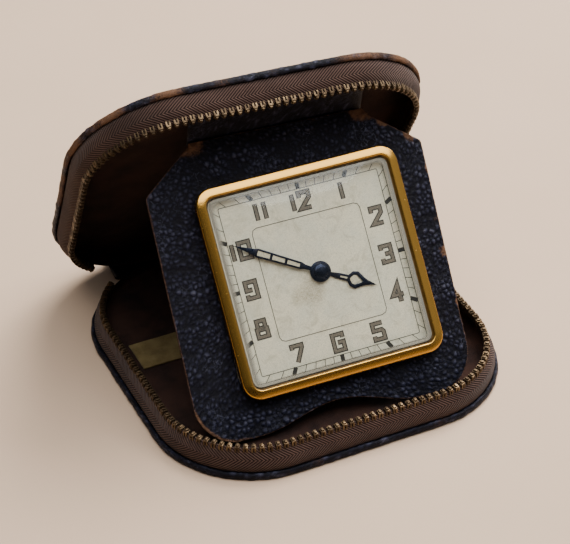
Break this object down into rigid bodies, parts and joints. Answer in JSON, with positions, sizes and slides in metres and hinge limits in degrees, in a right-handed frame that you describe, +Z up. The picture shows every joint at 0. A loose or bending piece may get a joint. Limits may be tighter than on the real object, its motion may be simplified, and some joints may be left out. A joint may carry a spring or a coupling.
{
  "type": "travel clock",
  "caption": "Square-faced wind-up travel clock on a folding easel panel inside a zip-up navy leather case, shown open and standing.",
  "frame": {"origin": "on the table under the middle of the base's zip rim", "axes": "+Z up, +X to the right of the base, +Y back towards the spine"},
  "size_m": [0.1044, 0.1064, 0.086],
  "materials": {
    "navy_leather": "pebbled, softly polished at the edges",
    "brown_lining": "fine woven cloth, dull",
    "olive_band": "flat woven band",
    "zip_tape": "herringbone cotton tape",
    "zip_metal": "aged brass",
    "panel_board": "pressed board",
    "gilt_brass": "gilded and lightly worn",
    "movement_brass": "turned and brushed",
    "steel": "polished",
    "blued_steel": "heat-blued steel",
    "dial_paper": "aged silvered face",
    "crystal": "domed clear glass",
    "nickel": "dull nickel plate"
  },
  "bodies": {
    "base": {"base_cover": "navy_leather", "base_lining": "brown_lining", "base_zip_tape": "zip_tape", "base_zip_chain": "zip_metal", "lining_band": "olive_band", "spine_hinge": "navy_leather", "zip_slider": "zip_metal"},
    "zip_tab": {"zip_pull": "zip_metal"},
    "lid": {"lid_cover": "navy_leather", "lid_lining": "brown_lining", "lid_zip_tape": "zip_tape", "lid_zip_chain": "zip_metal", "flap_anchor": "navy_leather"},
    "flap": {"easel_flap": "navy_leather"},
    "easel": {"easel_leather": "navy_leather", "easel_board": "panel_board", "easel_back_lining": "brown_lining", "bezel": "gilt_brass", "crystal": "crystal", "dial": "dial_paper", "clock_case": "movement_brass", "back_cover": "nickel", "case_screw_1": "steel", "case_screw_2": "steel", "front_plate": "movement_brass", "back_plate": "movement_brass", "pillar_1": "movement_brass", "pillar_2": "movement_brass", "pillar_3": "movement_brass", "pillar_4": "movement_brass", "minute_wheel_post": "steel", "mainspring": "steel", "hairspring": "steel"},
    "centre_train": {"centre_arbor": "steel", "centre_wheel": "movement_brass", "cannon_pinion": "movement_brass", "minute_hand": "blued_steel", "hand_nut": "blued_steel", "setting_knob": "nickel"},
    "hour_train": {"hour_wheel": "movement_brass", "hour_hand": "blued_steel"},
    "minute_reduction": {"minute_wheel": "movement_brass"},
    "third_train": {"third_arbor": "steel", "third_wheel": "movement_brass"},
    "fourth_train": {"fourth_arbor": "steel", "fourth_wheel": "movement_brass"},
    "escape_train": {"escape_arbor": "steel", "escape_wheel": "movement_brass"},
    "great_train": {"great_wheel": "movement_brass"},
    "winding": {"winding_arbor": "steel", "ratchet_wheel": "steel", "winding_key": "nickel"},
    "ratchet_click": {"click": "steel"},
    "pallets": {"pallet_lever": "steel"},
    "balance": {"balance_wheel": "movement_brass"},
    "regulator": {"regulator_lever": "steel"}
  },
  "joints": [
    {"name": "lid_hinge", "type": "hinge", "parent": "base", "child": "lid", "pos_m": [0.00051, 0.05318, 0.0032], "axis": [-0.9962, 0.0872, 0], "range_deg": [0, 120]},
    {"name": "flap_fold", "type": "hinge", "parent": "lid", "child": "flap", "pos_m": [0.00106, 0.01017, 0.07648], "axis": [-0.9962, 0.0872, 0], "range_deg": [0, 83.45]},
    {"name": "easel_fold", "type": "hinge", "parent": "flap", "child": "easel", "pos_m": [0.00139, 0.01395, 0.06483], "axis": [0.9962, -0.0872, 0], "range_deg": [0, 152.48]},
    {"name": "minute_hand_turn", "type": "hinge", "parent": "easel", "child": "centre_train", "pos_m": [0.00157, -0.01043, 0.03211], "axis": [0.0677, 0.7739, -0.6297], "continuous": true},
    {"name": "hour_hand_turn", "type": "hinge", "parent": "easel", "child": "hour_train", "pos_m": [0.00157, -0.01043, 0.03211], "axis": [0.0677, 0.7739, -0.6297], "continuous": true},
    {"name": "minute_wheel_turn", "type": "hinge", "parent": "easel", "child": "minute_reduction", "pos_m": [0.00795, -0.0139, 0.0317], "axis": [0.0677, 0.7739, -0.6297], "continuous": true},
    {"name": "third_wheel_turn", "type": "hinge", "parent": "easel", "child": "third_train", "pos_m": [0.00923, -0.00682, 0.03578], "axis": [0.0677, 0.7739, -0.6297], "continuous": true},
    {"name": "fourth_wheel_turn", "type": "hinge", "parent": "easel", "child": "fourth_train", "pos_m": [0.00799, -0.00073, 0.04154], "axis": [0.0677, 0.7739, -0.6297], "continuous": true},
    {"name": "escape_wheel_turn", "type": "hinge", "parent": "easel", "child": "escape_train", "pos_m": [0.00081, 0.00009, 0.0394], "axis": [0.0677, 0.7739, -0.6297], "continuous": true},
    {"name": "great_wheel_turn", "type": "hinge", "parent": "easel", "child": "great_train", "pos_m": [0.00164, -0.01395, 0.02144], "axis": [0.0677, 0.7739, -0.6297], "continuous": true},
    {"name": "winding_turn", "type": "hinge", "parent": "great_train", "child": "winding", "pos_m": [0.00164, -0.01395, 0.02144], "axis": [0.0677, 0.7739, -0.6297], "range_deg": [0, 1800]},
    {"name": "click_lift", "type": "hinge", "parent": "great_train", "child": "ratchet_click", "pos_m": [0.00179, -0.01, 0.02519], "axis": [0.0677, 0.7739, -0.6297], "range_deg": [0, 8]},
    {"name": "pallet_swing", "type": "hinge", "parent": "easel", "child": "pallets", "pos_m": [-0.00632, 0.00126, 0.03927], "axis": [0.0677, 0.7739, -0.6297], "range_deg": [-5, 5]},
    {"name": "balance_swing", "type": "hinge", "parent": "easel", "child": "balance", "pos_m": [-0.01116, -0.00579, 0.032], "axis": [0.0677, 0.7739, -0.6297], "range_deg": [-220, 220]},
    {"name": "regulator_swing", "type": "hinge", "parent": "easel", "child": "regulator", "pos_m": [-0.01116, -0.00579, 0.032], "axis": [0.0677, 0.7739, -0.6297], "range_deg": [-15, 15]},
    {"name": "zip_tab_swing", "type": "hinge", "parent": "base", "child": "zip_tab", "pos_m": [0.04463, 0.03709, 0.0079], "axis": [0, 0, 1], "range_deg": [0, 70]}
  ],
  "couplings": [
    {"joint": "flap_fold", "follows": "lid_hinge", "ratio": 0.69534},
    {"joint": "easel_fold", "follows": "lid_hinge", "ratio": 1.2706},
    {"joint": "hour_hand_turn", "follows": "minute_hand_turn", "ratio": 0.083333},
    {"joint": "minute_wheel_turn", "follows": "minute_hand_turn", "ratio": -0.33333},
    {"joint": "third_wheel_turn", "follows": "minute_hand_turn", "ratio": -8},
    {"joint": "fourth_wheel_turn", "follows": "minute_hand_turn", "ratio": 60},
    {"joint": "escape_wheel_turn", "follows": "minute_hand_turn", "ratio": -450},
    {"joint": "great_wheel_turn", "follows": "minute_hand_turn", "ratio": -0.16667}
  ]
}
